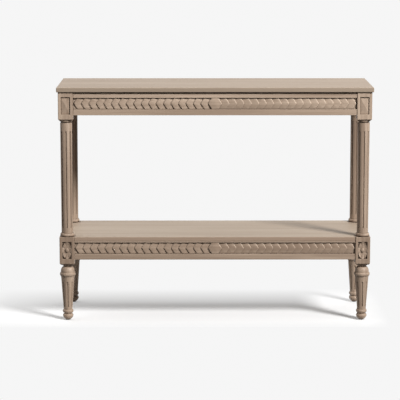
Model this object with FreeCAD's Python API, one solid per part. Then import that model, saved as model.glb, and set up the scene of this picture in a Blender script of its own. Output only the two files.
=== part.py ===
import FreeCAD, Part
import math
import os

# A free-standing pier table: a thin top and a low shelf on four posts.
# Each post is a stack of an upper block, a fluted column, a lower block and a turned leg.
# Millimetres. X runs along the length, -Y is the front, Z is up from the floor.

# Overall size, floor to the upper surface of the top
table_length = 1219.0
table_depth = 406.0
table_height = 914.0

# Top board
top_thickness = 18.0
top_overhang = 6.0
top_edge_round = 2.5

# Shelf board, measured to its upper surface
shelf_height = 332.0
shelf_thickness = 16.0
shelf_edge_round = 1.5
shelf_fit = 0.2

# Corner blocks, square in plan, with eased arrises and a chamfered lower end
block_side = 58.0
block_face_height = 105.0
block_edge_round = 2.5
block_chamfer_rise = 5.0
block_chamfer_run = 5.0

# Sunk panels in the outer faces of the blocks
panel_border = 11.0
panel_end_margin = 19.0
panel_depth = 5.0
diamond_rise = 4.5

# Oval rosettes that fill the panels of the lower blocks: a dish of petals round a boss
rosette_gap = 0.3
rosette_boss_width = 15.0
rosette_boss_height = 19.0
rosette_boss_rise = 6.4
rosette_ring_rise = 1.2
rosette_ring_width = 1.0
rosette_petal_rise = 2.3
rosette_edge_rise = 4.6
rosette_petal_count = 8
rosette_vein_width = 3.4
rosette_vein_rise = 1.2

# Aprons between the blocks, with bands above and below the carved frieze
apron_setback = 3.0
apron_thickness = 22.0
upper_band = 22.2
shelf_band = 6.2
bottom_band = 23.2

# Joints of the aprons
apron_tenon_length = 24.0
apron_tenon_thickness = 10.0
apron_tenon_shoulder = 10.0
joint_fit = 0.15
joint_end_gap = 0.5
bore_wall = 3.0
round_tenon_radius = 12.5

# Frieze strip of lapped coins, let into a groove of the apron
frieze_height = 43.6
frieze_groove = 9.0
frieze_backing = 2.0
frieze_below_face = 1.0
coin_length = 55.0
coin_overreach = 1.5
coin_flat_share = 0.46
coin_corner_radius = 6.0
coin_rim = 2.0
coin_pitch_aim = 28.7
coin_step = 4.4
coin_end_gap = 2.0

# Fluted columns between the blocks
column_base_radius = 27.0
column_base_seat_radius = 24.0
column_base_height = 13.0
column_foot_radius = 22.0
column_head_radius = 23.0
column_head_round = 1.5
column_neck_radius = 20.5
column_neck_height = 4.5
column_cap_radius = 25.0
column_cap_seat_radius = 23.0
column_cap_height = 5.0
column_flute_width = 7.0
column_flute_depth = 3.2
column_flute_foot_margin = 33.0
column_flute_head_margin = 41.5
flute_count = 8

# Turned legs under the lower blocks, from the top down
leg_cap_radius = 20.5
leg_cap_seat_radius = 18.5
leg_cap_height = 6.0
leg_neck_radius = 16.0
leg_neck_height = 4.0
leg_dome_radius = 27.0
leg_dome_height = 19.5
leg_collar_height = 3.0
leg_ring_radius = 30.5
leg_ring_height = 14.0
leg_shoulder_radius = 26.0
leg_ankle_radius = 17.2
leg_anklet_radius = 20.8
leg_anklet_height = 14.0
leg_cove_radius = 16.2
leg_cove_height = 3.0
leg_ball_radius = 20.6
leg_ball_height = 22.0
leg_tip_radius = 11.0
leg_flute_width = 7.5
leg_flute_depth = 3.4
leg_flute_foot_margin = 10.0
leg_flute_head_margin = 18.0

# Glides nailed under the feet
glide_radius = 8.5
glide_thickness = 3.0
glide_nail_radius = 1.5
glide_nail_length = 12.0

# Hidden framing and fastenings
cross_rail_thickness = 22.0
cross_rail_height = 45.0
cross_rail_housing = 6.0
cleat_side = 20.0
cleat_gap = 2.0
screw_radius = 2.0
screw_head_radius = 4.0
screw_head_depth = 2.4
screw_bite = 10.0
screw_fit = 0.1

# Shares of the sizes that they follow
dome_mid_radius_share = 0.70
dome_mid_height_share = 0.34
ball_wide_height_share = 0.59
bowl_mid_radius_share = 0.60
bowl_mid_height_share = 0.45
boss_mid_radius_share = 0.72
boss_mid_rise_share = 0.72
screw_place_shares = (0.25, 0.75)

# One overrun serves all cuts
overrun = 2.0

# Heights and places worked out from the sizes above
top_under = table_height - top_thickness
block_height = block_face_height + block_chamfer_rise
upper_block_bottom = top_under - block_height
lower_block_bottom = shelf_height - block_height
column_length = upper_block_bottom - shelf_height
post_x = table_length / 2 - top_overhang - block_side / 2
post_y = table_depth / 2 - top_overhang - block_side / 2
front_length = 2 * post_x - block_side
side_length = 2 * post_y - block_side
front_face = post_y + block_side / 2 - apron_setback
side_face = post_x + block_side / 2 - apron_setback
upper_apron_height = upper_band + frieze_height + bottom_band
lower_apron_height = shelf_band + frieze_height + bottom_band
upper_apron_bottom = top_under - upper_apron_height
lower_apron_bottom = shelf_height - shelf_thickness - lower_apron_height
panel_width = block_side - 2 * panel_border
panel_height = block_face_height - 2 * panel_end_margin

# Round tenons stop short of the apron tenons by one wall
column_head_tenon = upper_apron_bottom + apron_tenon_shoulder - bore_wall - upper_block_bottom
column_foot_tenon = shelf_thickness + apron_tenon_shoulder - bore_wall
leg_tenon = lower_apron_bottom + apron_tenon_shoulder - bore_wall - lower_block_bottom

vec = FreeCAD.Vector
origin = vec(0, 0, 0)
x_axis = vec(1, 0, 0)
y_axis = vec(0, 1, 0)
z_axis = vec(0, 0, 1)
full_turn = 360.0
quarter_turn = full_turn / 4

side_names = ("front", "right", "back", "left")
corners = {
    "front_left": (-1, -1),
    "front_right": (1, -1),
    "back_left": (-1, 1),
    "back_right": (1, 1),
}
parts = {}


def span_box(x_ends, y_ends, z_ends):
    """A box between pairs of ends given in any order."""
    low = vec(min(x_ends), min(y_ends), min(z_ends))
    high = vec(max(x_ends), max(y_ends), max(z_ends))
    size = high - low
    return Part.makeBox(size.x, size.y, size.z, low)


def revolved(start, steps, axis=z_axis):
    """A solid turned about the axis: a step is a line end, or an arc's middle and end."""
    side = x_axis

    def place(radius, along):
        return side * radius + axis * along

    edges = []
    here = start
    for step in steps:
        end = step[-2:]
        if len(step) == 2:
            edges.append(Part.makeLine(place(*here), place(*end)))
        else:
            edges.append(Part.Arc(place(*here), place(*step[:2]), place(*end)).toShape())
        here = end
    edges.append(Part.makeLine(place(*here), place(*start)))
    return Part.Face(Part.Wire(edges)).revolve(origin, axis, full_turn)


def around(shape, count, axis=z_axis):
    """Copies of a shape at equal angles about an axis through the origin."""
    copies = []
    for index in range(count):
        turned = shape.copy()
        turned.rotate(origin, axis, index * full_turn / count)
        copies.append(turned)
    return copies


def flute_cutter(low_radius, low_z, high_radius, high_z, width, depth):
    """A round-ended rod that cuts a stopped flute along the front of a tapered shaft."""
    rod_radius = (width * width / 4 + depth * depth) / (2 * depth)
    low = vec(0, -(low_radius - depth + rod_radius), low_z + width / 2)
    high = vec(0, -(high_radius - depth + rod_radius), high_z - width / 2)
    run = (high - low).Length
    corner = rod_radius * math.sqrt(2) / 2
    steps = [
        (corner, -corner, rod_radius, 0),
        (rod_radius, run),
        (corner, run + corner, 0, run + rod_radius),
    ]
    rod = revolved((0, -rod_radius), steps)
    rod.Placement = FreeCAD.Placement(low, FreeCAD.Rotation(z_axis, high - low))
    return rod


def to_side(shape, name, face_distance, bottom):
    """Turn a shape made for the front to one side of the table and lift it."""
    angle = quarter_turn * side_names.index(name)
    placed = shape.copy()
    placed.translate(vec(0, -face_distance, bottom))
    placed.rotate(origin, z_axis, angle)
    return placed


def to_post(shape, name, bottom=0):
    """Move a shape made on the Z axis to one post."""
    x_sign, y_sign = corners[name]
    placed = shape.copy()
    placed.translate(vec(x_sign * post_x, y_sign * post_y, bottom))
    return placed


def rounded_outline(points, radius):
    """A closed flat outline with arcs at its corners."""
    edges = []
    ends = []
    for index, point in enumerate(points):
        back = (points[index - 1] - point).normalize()
        ahead = (points[(index + 1) % len(points)] - point).normalize()
        half = back.getAngle(ahead) / 2
        reach = radius / math.tan(half)
        inward = (back + ahead).normalize()
        middle = point + inward * (radius / math.sin(half) - radius)
        ends.append((point + back * reach, middle, point + ahead * reach))
    for index, (arc_start, middle, arc_end) in enumerate(ends):
        edges.append(Part.makeLine(ends[index - 1][2], arc_start))
        edges.append(Part.Arc(arc_start, middle, arc_end).toShape())
    return Part.Wire(edges)


# Screws

def screw_body(length, extra=0):
    """A countersunk screw along +Z with its head at zero, or with extra room its hole."""
    steps = [
        (screw_head_radius + extra, 0),
        (screw_radius + extra, screw_head_depth),
        (screw_radius + extra, length - screw_radius),
        (0, length + extra),
    ]
    return revolved((0, 0), steps)


def cleat_spans(length):
    """Ends along X of the two cleats behind an apron, either side of the cross rail."""
    inner = cross_rail_thickness / 2 + cleat_gap
    outer = length / 2 - cleat_gap
    return ((-outer, -inner), (inner, outer))


def screw_places():
    """Screws that rise through the cleats of the front and back, as points in plan."""
    inset = front_face - apron_thickness - cleat_side / 2
    places = []
    for y_sign in (-1, 1):
        for start, end in cleat_spans(front_length):
            for share in screw_place_shares:
                places.append(vec(start + (end - start) * share, y_sign * inset, 0))
    return places


def screw_set(board_under, extra=0):
    """All screws of one board, heads flush with the undersides of its cleats."""
    screws = []
    for place in screw_places():
        screw = screw_body(cleat_side + screw_bite, extra)
        screw.translate(place + vec(0, 0, board_under - cleat_side))
        screws.append(screw)
    return screws


# Boards

def make_top():
    """The top with eased edges and pilot holes below."""
    board = span_box(
        (-table_length / 2, table_length / 2),
        (-table_depth / 2, table_depth / 2),
        (top_under, table_height),
    )
    board = board.makeFillet(top_edge_round, board.Edges)
    return board.cut(screw_set(top_under, screw_fit))


def make_shelf():
    """The shelf, flush with the apron faces and notched round the lower blocks."""
    shelf_under = shelf_height - shelf_thickness
    board = span_box((-side_face, side_face), (-front_face, front_face), (shelf_under, shelf_height))
    upper_edges = [edge for edge in board.Edges if edge.BoundBox.ZMin > shelf_under]
    board = board.makeFillet(shelf_edge_round, upper_edges)
    notch_half = block_side / 2 + shelf_fit
    notch = span_box(
        (-notch_half, notch_half),
        (-notch_half, notch_half),
        (shelf_under - overrun, shelf_height + overrun),
    )
    notches = [to_post(notch, name) for name in corners]
    return board.cut(notches + screw_set(shelf_under, screw_fit))


# Aprons and friezes

def make_apron(length, height, carved, housed):
    """An apron seen from outside at y = 0, with tenons, frieze groove and cross rail housing."""
    apron = span_box((-length / 2, length / 2), (0, apron_thickness), (0, height))
    tenon_y = (apron_thickness - apron_tenon_thickness) / 2
    tenons = []
    for sign in (-1, 1):
        tenons.append(span_box(
            (sign * length / 2, sign * (length / 2 + apron_tenon_length)),
            (tenon_y, tenon_y + apron_tenon_thickness),
            (apron_tenon_shoulder, height - apron_tenon_shoulder),
        ))
    if carved:
        groove_half = length / 2 + overrun
        apron = apron.cut(span_box(
            (-groove_half, groove_half),
            (-overrun, frieze_groove),
            (bottom_band, bottom_band + frieze_height),
        ))
    if housed:
        housing_half = cross_rail_thickness / 2 + joint_fit
        apron = apron.cut(span_box(
            (-housing_half, housing_half),
            (apron_thickness - cross_rail_housing, apron_thickness + overrun),
            (height - cross_rail_height - joint_fit, height + overrun),
        ))
    return apron.fuse(tenons).removeSplitter()


def make_coin():
    """One coin: a round-cornered six-sided disc with a bevelled rim, its face at y = 0."""
    half_length = coin_length / 2
    half_height = frieze_height / 2 + coin_overreach
    half_flat = half_length * coin_flat_share
    points = [
        vec(half_length, 0, 0),
        vec(half_flat, 0, half_height),
        vec(-half_flat, 0, half_height),
        vec(-half_length, 0, 0),
        vec(-half_flat, 0, -half_height),
        vec(half_flat, 0, -half_height),
    ]
    face = Part.Face(rounded_outline(points, coin_corner_radius))
    coin = face.extrude(y_axis * frieze_groove)
    rim_edges = [edge for edge in coin.Edges if edge.BoundBox.YMax < frieze_groove / 2]
    return coin.makeChamfer(coin_rim, rim_edges)


def make_frieze(length):
    """A strip of coins that lap outwards from one in the middle, trimmed level above and below."""
    half = length / 2 - joint_fit
    slots = half - coin_length / 2 - coin_end_gap
    each_side = max(1, round(slots / coin_pitch_aim))
    pitch = slots / each_side
    tilt = math.degrees(math.atan(coin_step / pitch))
    tilt_drop = coin_length / 2 * coin_step / pitch
    middle_z = bottom_band + frieze_height / 2
    low_z = bottom_band + joint_fit
    high_z = bottom_band + frieze_height - joint_fit
    backing = span_box((-half, half), (frieze_groove - frieze_backing, frieze_groove), (low_z, high_z))
    coin = make_coin()
    coins = []
    for index in range(-each_side, each_side + 1):
        sign = (index > 0) - (index < 0)
        lapped = coin.copy()
        lapped.rotate(origin, z_axis, -sign * tilt)
        drop = frieze_below_face + abs(sign) * tilt_drop
        lapped.translate(vec(index * pitch, drop, middle_z))
        coins.append(lapped)
    room = span_box((-half, half), (0, frieze_groove), (low_z, high_z))
    return backing.multiFuse(coins).common(room).removeSplitter()


# Blocks and rosettes

def panel_recess():
    """The sunk panel of a block's front face, its middle at z = 0."""
    face_y = -block_side / 2
    return span_box(
        (-panel_width / 2, panel_width / 2),
        (face_y - overrun, face_y + panel_depth),
        (-panel_height / 2, panel_height / 2),
    )


def diamond_point():
    """A low four-sided point on the floor of the panel."""
    floor_y = panel_depth - block_side / 2
    half_width = panel_width / 2
    half_height = panel_height / 2
    base = Part.makePolygon([
        vec(-half_width, floor_y, -half_height),
        vec(half_width, floor_y, -half_height),
        vec(half_width, floor_y, half_height),
        vec(-half_width, floor_y, half_height),
        vec(-half_width, floor_y, -half_height),
    ])
    peak = Part.Vertex(vec(0, floor_y - diamond_rise, 0))
    return Part.makeLoft([base, peak], True, True)


def stretched_up(shape, times):
    """A round shape drawn out along Z to an oval."""
    stretch = FreeCAD.Matrix()
    stretch.scale(vec(1, 1, times))
    return shape.transformGeometry(stretch)


def make_rosette():
    """An oval rosette of petals round a domed boss, on the floor of the front panel."""
    half_width = panel_width / 2 - rosette_gap
    half_height = panel_height / 2 - rosette_gap
    boss_radius = rosette_boss_width / 2
    ring_radius = boss_radius + rosette_ring_width
    steps = [
        (half_width, 0),
        (half_width, rosette_edge_rise),
        ((half_width + ring_radius) / 2, rosette_petal_rise, ring_radius, rosette_ring_rise),
        (0, rosette_ring_rise),
    ]
    flower = revolved((0, 0), steps, -y_axis)
    vein_rise = rosette_edge_rise + overrun
    vein_half = rosette_vein_width / 2 * (vein_rise - rosette_vein_rise) / (rosette_edge_rise - rosette_vein_rise)
    vein = Part.Face(Part.makePolygon([
        vec(-vein_half, -vein_rise, ring_radius),
        vec(vein_half, -vein_rise, ring_radius),
        vec(0, -rosette_vein_rise, ring_radius),
        vec(-vein_half, -vein_rise, ring_radius),
    ])).extrude(z_axis * half_width)
    vein.rotate(origin, y_axis, full_turn / rosette_petal_count / 2)
    flower = flower.cut(around(vein, rosette_petal_count, y_axis))
    boss_steps = [
        (boss_radius, 0),
        (boss_radius, rosette_ring_rise),
        (
            boss_radius * boss_mid_radius_share,
            rosette_ring_rise + (rosette_boss_rise - rosette_ring_rise) * boss_mid_rise_share,
            0,
            rosette_boss_rise,
        ),
    ]
    boss = revolved((0, 0), boss_steps, -y_axis)
    flower = stretched_up(flower, half_height / half_width)
    flower = flower.fuse(stretched_up(boss, rosette_boss_height / rosette_boss_width)).removeSplitter()
    flower.translate(vec(0, panel_depth - block_side / 2, 0))
    return flower


def panel_turns(x_sign, y_sign):
    """Turns about Z that bring a front panel to the carved faces of a block."""
    turns = [quarter_turn * x_sign]
    if y_sign < 0:
        turns.append(0)
    return turns


def turn_about_z(shape, angle, lift):
    """A copy of a shape turned about Z and lifted."""
    turned = shape.copy()
    turned.rotate(origin, z_axis, angle)
    turned.translate(z_axis * lift)
    return turned


def block_outline(reach, level):
    """The round-cornered square of a block at one level."""
    points = [
        vec(-reach, -reach, level),
        vec(reach, -reach, level),
        vec(reach, reach, level),
        vec(-reach, reach, level),
    ]
    return rounded_outline(points, block_edge_round)


def make_block(name, apron_low, apron_high):
    """A block on the Z axis with its face top at z = 0: panels and apron mortises."""
    x_sign, y_sign = corners[name]
    half = block_side / 2
    face_low = block_outline(half, -block_face_height)
    foot_low = block_outline(half - block_chamfer_run, -block_height)
    block = Part.Face(face_low).extrude(z_axis * block_face_height)
    block = block.fuse(Part.makeLoft([face_low, foot_low], True, True))
    panel_middle = -block_face_height / 2
    for angle in panel_turns(x_sign, y_sign):
        block = block.cut(turn_about_z(panel_recess(), angle, panel_middle))
    depth = apron_tenon_length + joint_end_gap
    near = half - apron_setback - apron_thickness / 2 - apron_tenon_thickness / 2 - joint_fit
    far = near + apron_tenon_thickness + 2 * joint_fit
    inward = (half - depth, half + overrun)
    z_ends = (apron_low + apron_tenon_shoulder - joint_fit, apron_high - apron_tenon_shoulder + joint_fit)
    mortises = [
        span_box([-x_sign * end for end in inward], (y_sign * near, y_sign * far), z_ends),
        span_box((x_sign * near, x_sign * far), [-y_sign * end for end in inward], z_ends),
    ]
    return block.cut(mortises)


def round_mortise(level, length, direction):
    """A bore for a round tenon, from a face up or down into a block."""
    bore = Part.makeCylinder(
        round_tenon_radius + joint_fit,
        length + joint_end_gap + overrun,
        vec(0, 0, level - direction * overrun),
        z_axis * direction,
    )
    return bore


def make_upper_block(name):
    """An upper block with diamond points, bored below for the column."""
    x_sign, y_sign = corners[name]
    block = make_block(name, upper_apron_bottom - top_under, 0)
    for angle in panel_turns(x_sign, y_sign):
        block = block.fuse(turn_about_z(diamond_point(), angle, -block_face_height / 2))
    block = block.cut(round_mortise(-block_height, column_head_tenon, 1))
    return to_post(block.removeSplitter(), name, top_under)


def make_lower_block(name):
    """A lower block, bored above for the column and below for the leg."""
    block = make_block(name, lower_apron_bottom - shelf_height, -shelf_thickness)
    block = block.cut(round_mortise(0, column_foot_tenon, -1))
    block = block.cut(round_mortise(-block_height, leg_tenon, 1))
    return to_post(block.removeSplitter(), name, shelf_height)


# Turned work

def make_column():
    """A fluted column with its foot at z = 0."""
    cap_z = column_length - column_cap_height
    neck_z = cap_z - column_neck_height
    bead_z = column_base_height / 2
    round_low = neck_z - column_head_round
    corner = column_head_round * math.sqrt(2) / 2
    round_radius = column_head_radius - column_head_round
    steps = [
        (round_tenon_radius, -column_foot_tenon),
        (round_tenon_radius, 0),
        (column_base_seat_radius, 0),
        (column_base_radius, bead_z, column_base_seat_radius, column_base_height),
        (column_foot_radius, column_base_height),
        (column_head_radius, round_low),
        (round_radius + corner, round_low + corner, round_radius, neck_z),
        (column_neck_radius, neck_z),
        (column_neck_radius, cap_z),
        (column_cap_seat_radius, cap_z),
        (column_cap_radius, (cap_z + column_length) / 2, column_cap_seat_radius, column_length),
        (round_tenon_radius, column_length),
        (round_tenon_radius, column_length + column_head_tenon),
        (0, column_length + column_head_tenon),
    ]
    column = revolved((0, -column_foot_tenon), steps)
    flute_low = column_flute_foot_margin
    flute_high = column_length - column_flute_head_margin
    gain = (column_head_radius - column_foot_radius) / (round_low - column_base_height)
    low_radius = column_foot_radius + gain * (flute_low - column_base_height)
    high_radius = column_foot_radius + gain * (flute_high - column_base_height)
    cutter = flute_cutter(
        low_radius, flute_low, high_radius, flute_high, column_flute_width, column_flute_depth
    )
    return column.cut(around(cutter, flute_count))


def make_leg():
    """A tapered, fluted leg with a ringed ball foot, standing on its glide."""
    leg_top = lower_block_bottom
    cap_z = leg_top - leg_cap_height
    neck_z = cap_z - leg_neck_height
    dome_z = neck_z - leg_dome_height
    ring_high = dome_z - leg_collar_height
    ring_low = ring_high - leg_ring_height
    shoulder_z = ring_low - leg_collar_height
    tip_z = glide_thickness
    ball_high = tip_z + leg_ball_height
    cove_high = ball_high + leg_cove_height
    ankle_z = cove_high + leg_anklet_height
    dome_gain = leg_dome_radius - leg_neck_radius
    bowl_gain = leg_ball_radius - leg_tip_radius
    bowl_rise = leg_ball_height * ball_wide_height_share
    wide_z = tip_z + bowl_rise
    corner_share = math.sqrt(2) / 2
    steps = [
        (leg_tip_radius, tip_z),
        (
            leg_tip_radius + bowl_gain * bowl_mid_radius_share,
            tip_z + bowl_rise * bowl_mid_height_share,
            leg_ball_radius,
            wide_z,
        ),
        (
            leg_cove_radius + (leg_ball_radius - leg_cove_radius) * corner_share,
            wide_z + (ball_high - wide_z) * corner_share,
            leg_cove_radius,
            ball_high,
        ),
        (leg_cove_radius, cove_high),
        (leg_anklet_radius, (cove_high + ankle_z) / 2, leg_ankle_radius, ankle_z),
        (leg_shoulder_radius, shoulder_z),
        (leg_dome_radius, shoulder_z),
        (leg_dome_radius, ring_low),
        (leg_ring_radius, (ring_low + ring_high) / 2, leg_dome_radius, ring_high),
        (leg_dome_radius, dome_z),
        (
            leg_neck_radius + dome_gain * dome_mid_radius_share,
            neck_z - leg_dome_height * dome_mid_height_share,
            leg_neck_radius,
            neck_z,
        ),
        (leg_neck_radius, cap_z),
        (leg_cap_seat_radius, cap_z),
        (leg_cap_radius, (cap_z + leg_top) / 2, leg_cap_seat_radius, leg_top),
        (round_tenon_radius, leg_top),
        (round_tenon_radius, leg_top + leg_tenon),
        (0, leg_top + leg_tenon),
    ]
    leg = revolved((0, tip_z), steps)
    flute_low = ankle_z + leg_flute_foot_margin
    flute_high = shoulder_z - leg_flute_head_margin
    gain = (leg_shoulder_radius - leg_ankle_radius) / (shoulder_z - ankle_z)
    low_radius = leg_ankle_radius + gain * (flute_low - ankle_z)
    high_radius = leg_ankle_radius + gain * (flute_high - ankle_z)
    cutter = flute_cutter(low_radius, flute_low, high_radius, flute_high, leg_flute_width, leg_flute_depth)
    nail_hole = Part.makeCylinder(glide_nail_radius + joint_fit, glide_nail_length + joint_end_gap, z_axis * tip_z)
    return leg.cut(around(cutter, flute_count) + [nail_hole])


def make_glide():
    """A flat glide with its nail."""
    nail_top = glide_thickness + glide_nail_length
    steps = [
        (glide_radius, 0),
        (glide_radius, glide_thickness),
        (glide_nail_radius, glide_thickness),
        (glide_nail_radius, nail_top - glide_nail_radius),
        (0, nail_top),
    ]
    return revolved((0, 0), steps)


# Hidden framing

def make_cross_rail(board_under):
    """A rail from front to back at mid length, housed in the long aprons."""
    reach = front_face - apron_thickness + cross_rail_housing - joint_fit
    half = cross_rail_thickness / 2
    return span_box((-half, half), (-reach, reach), (board_under - cross_rail_height, board_under))


def make_cleats(prefix, board_under):
    """Four cleats glued behind the long aprons, screwed up into the board."""
    holes = screw_set(board_under, screw_fit)
    inner = front_face - apron_thickness
    for y_name, y_sign in (("front", -1), ("back", 1)):
        for x_name, x_ends in zip(("left", "right"), cleat_spans(front_length)):
            cleat = span_box(
                x_ends,
                (y_sign * inner, y_sign * (inner - cleat_side)),
                (board_under - cleat_side, board_under),
            )
            parts[f"{prefix}_cleat_{y_name}_{x_name}"] = cleat.cut(holes)


def build():
    """Make every piece in its place."""
    parts["table_top"] = make_top()
    parts["shelf"] = make_shelf()
    column = make_column()
    leg = make_leg()
    glide = make_glide()
    for name in corners:
        parts[f"upper_block_{name}"] = make_upper_block(name)
        parts[f"column_{name}"] = to_post(column, name, shelf_height)
        parts[f"lower_block_{name}"] = make_lower_block(name)
        parts[f"leg_{name}"] = to_post(leg, name)
    parts["foot_glides"] = Part.makeCompound([to_post(glide, name) for name in corners])
    rosette = make_rosette()
    rosette.translate(z_axis * (shelf_height - block_face_height / 2))
    for name, (x_sign, y_sign) in corners.items():
        y_name, x_name = name.split("_")
        side = turn_about_z(rosette, quarter_turn * x_sign, 0)
        parts[f"rosette_{x_name}_side_{y_name}"] = to_post(side, name)
        if y_sign < 0:
            parts[f"rosette_{name}"] = to_post(rosette, name)
    levels = (
        ("upper", upper_apron_height, upper_apron_bottom),
        ("lower", lower_apron_height, lower_apron_bottom),
    )
    runs = {"front": front_length, "right": side_length, "back": front_length, "left": side_length}
    faces = {"front": front_face, "right": side_face, "back": front_face, "left": side_face}
    strips = {"front": make_frieze(front_length), "left": make_frieze(side_length)}
    strips["right"] = strips["left"]
    for level, height, bottom in levels:
        for side in side_names:
            apron = make_apron(runs[side], height, side in strips, side in ("front", "back"))
            parts[f"{level}_apron_{side}"] = to_side(apron, side, faces[side], bottom)
        for side, strip in strips.items():
            parts[f"{level}_frieze_{side}"] = to_side(strip, side, faces[side], bottom)
    shelf_under = shelf_height - shelf_thickness
    for prefix, board_under in (("top", top_under), ("shelf", shelf_under)):
        parts[f"{prefix}_cross_rail"] = make_cross_rail(board_under)
        make_cleats(prefix, board_under)
        parts[f"{prefix}_screws"] = Part.makeCompound(screw_set(board_under))


build()
os.makedirs("parts", exist_ok=True)
for name, shape in parts.items():
    shape.exportStep(os.path.join("parts", name + ".step"))
print(len(parts), "pieces written")
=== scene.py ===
import math

import bpy
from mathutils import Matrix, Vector


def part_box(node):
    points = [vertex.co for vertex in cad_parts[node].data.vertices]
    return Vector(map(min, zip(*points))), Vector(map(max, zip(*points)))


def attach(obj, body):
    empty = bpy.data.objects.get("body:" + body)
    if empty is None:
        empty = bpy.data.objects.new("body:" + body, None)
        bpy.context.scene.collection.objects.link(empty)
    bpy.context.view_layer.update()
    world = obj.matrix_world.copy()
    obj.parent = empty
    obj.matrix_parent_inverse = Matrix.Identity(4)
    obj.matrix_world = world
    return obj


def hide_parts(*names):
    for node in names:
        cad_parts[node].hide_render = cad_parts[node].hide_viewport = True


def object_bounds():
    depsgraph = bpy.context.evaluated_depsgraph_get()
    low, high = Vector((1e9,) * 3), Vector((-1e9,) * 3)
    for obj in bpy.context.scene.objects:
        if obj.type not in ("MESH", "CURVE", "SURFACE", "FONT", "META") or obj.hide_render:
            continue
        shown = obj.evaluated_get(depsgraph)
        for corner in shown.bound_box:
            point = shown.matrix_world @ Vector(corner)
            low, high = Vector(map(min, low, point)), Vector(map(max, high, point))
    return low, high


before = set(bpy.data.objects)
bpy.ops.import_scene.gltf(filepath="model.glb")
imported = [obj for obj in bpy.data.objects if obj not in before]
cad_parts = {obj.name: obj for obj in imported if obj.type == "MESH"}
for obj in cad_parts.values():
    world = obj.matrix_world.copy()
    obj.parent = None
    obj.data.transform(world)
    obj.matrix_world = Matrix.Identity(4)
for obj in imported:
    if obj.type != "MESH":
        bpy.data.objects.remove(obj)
cadLow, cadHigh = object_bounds()
scene = bpy.context.scene
scene.view_settings.view_transform = "Standard"

# one millimetre of the table, read from the frame's height
tableHeight = 914
mm = (cadHigh.z - cadLow.z) / tableHeight

corners = {"front_left": (-1, -1), "front_right": (1, -1), "back_left": (-1, 1), "back_right": (1, 1)}
quarterTurn = math.pi / 2
# the front faces -Y
faceTurns = {"front": 0, "left": -quarterTurn, "right": quarterTurn, "back": 2 * quarterTurn}
levels = ("upper", "lower")
print("frame loaded,", len(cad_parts), "nodes")


# bench helpers

benchWork = {
    "squarely": 0.9,  # cosine of a face that looks along an axis
    "sharpFrom": 28,  # degrees at an edge that gets eased
    "easedSmooth": 50,  # degrees that the shading runs across on eased pieces
    "sliver": 0.01,  # millimetres
}


def deselectAll():
    if bpy.context.mode != "OBJECT":
        bpy.ops.object.mode_set(mode="OBJECT")
    bpy.ops.object.select_all(action="DESELECT")


def takeUp(piece):
    deselectAll()
    piece.select_set(True)
    bpy.context.view_layer.objects.active = piece


def bakePlace(piece):  # the object goes back to the origin and its place into the mesh
    takeUp(piece)
    bpy.ops.object.transform_apply(location=True, rotation=True, scale=True)


def cutBox(name, low, high):  # a box between two corners
    deselectAll()
    low = Vector(low)
    high = Vector(high)
    bpy.ops.mesh.primitive_cube_add(size=1, location=(low + high) / 2, scale=high - low)
    piece = bpy.context.object
    piece.name = name
    bakePlace(piece)
    return piece


def openMesh(piece, kind):  # edit mode with nothing selected
    takeUp(piece)
    bpy.ops.object.mode_set(mode="EDIT")
    bpy.ops.mesh.select_mode(type=kind)
    bpy.ops.mesh.select_all(action="DESELECT")
    bpy.ops.object.mode_set(mode="OBJECT")


def pickFaces(piece, wanted):
    openMesh(piece, "FACE")
    for face in piece.data.polygons:
        face.select = wanted(face.center, face.normal)
    bpy.ops.object.mode_set(mode="EDIT")


def pickEdges(piece, wanted):
    openMesh(piece, "EDGE")
    points = piece.data.vertices
    for edge in piece.data.edges:
        edge.select = wanted(points[edge.vertices[0]].co, points[edge.vertices[1]].co)
    bpy.ops.object.mode_set(mode="EDIT")


def pickPoints(piece, wanted):
    openMesh(piece, "VERT")
    for point in piece.data.vertices:
        point.select = wanted(point.co)
    bpy.ops.object.mode_set(mode="EDIT")


def pickAll(piece):
    takeUp(piece)
    bpy.ops.object.mode_set(mode="EDIT")
    bpy.ops.mesh.select_all(action="SELECT")


def applyModifier(piece, modifier):
    takeUp(piece)
    bpy.ops.object.modifier_apply(modifier=modifier.name)


def easeArrises(piece, width, segments=2):  # rounds the sharp edges and keeps the flats flat
    bevel = piece.modifiers.new("ease", "BEVEL")
    bevel.width = width
    bevel.segments = segments
    bevel.limit_method = "ANGLE"
    bevel.angle_limit = math.radians(benchWork["sharpFrom"])
    applyModifier(piece, bevel)
    smoothPiece(piece, benchWork["easedSmooth"])
    flats = piece.modifiers.new("flats", "WEIGHTED_NORMAL")
    flats.keep_sharp = True
    applyModifier(piece, flats)


def smoothPiece(piece, degrees):
    takeUp(piece)
    bpy.ops.object.shade_smooth_by_angle(angle=math.radians(degrees))


def cutAway(piece, cutter, operation="DIFFERENCE"):
    cut = piece.modifiers.new("cut", "BOOLEAN")
    cut.operation = operation
    cut.solver = "EXACT"
    cut.use_self = operation == "UNION"
    cut.object = cutter
    applyModifier(piece, cut)
    bpy.data.objects.remove(cutter)


def cleanCuts(piece):  # no slivers stay along the cuts
    sliver = benchWork["sliver"] * mm
    pickAll(piece)
    bpy.ops.mesh.remove_doubles(threshold=sliver)
    bpy.ops.mesh.quads_convert_to_tris(ngon_method="BEAUTY")
    bpy.ops.mesh.dissolve_degenerate(threshold=sliver)
    bpy.ops.object.mode_set(mode="OBJECT")


def copyTo(model, name, place, turn=0):
    piece = model.copy()
    piece.data = model.data.copy()
    piece.name = name
    scene.collection.objects.link(piece)
    piece.location = place
    piece.rotation_euler.z = turn
    bakePlace(piece)
    return piece


def fitPiece(piece, finish, node):
    piece.data.materials.clear()
    piece.data.materials.append(finish)
    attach(piece, "root")
    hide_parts(node)


# shader helpers

def addNode(tree, kind, **values):
    node = tree.nodes.new(kind)
    for label, value in values.items():
        setattr(node, label, value)
    return node


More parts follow.
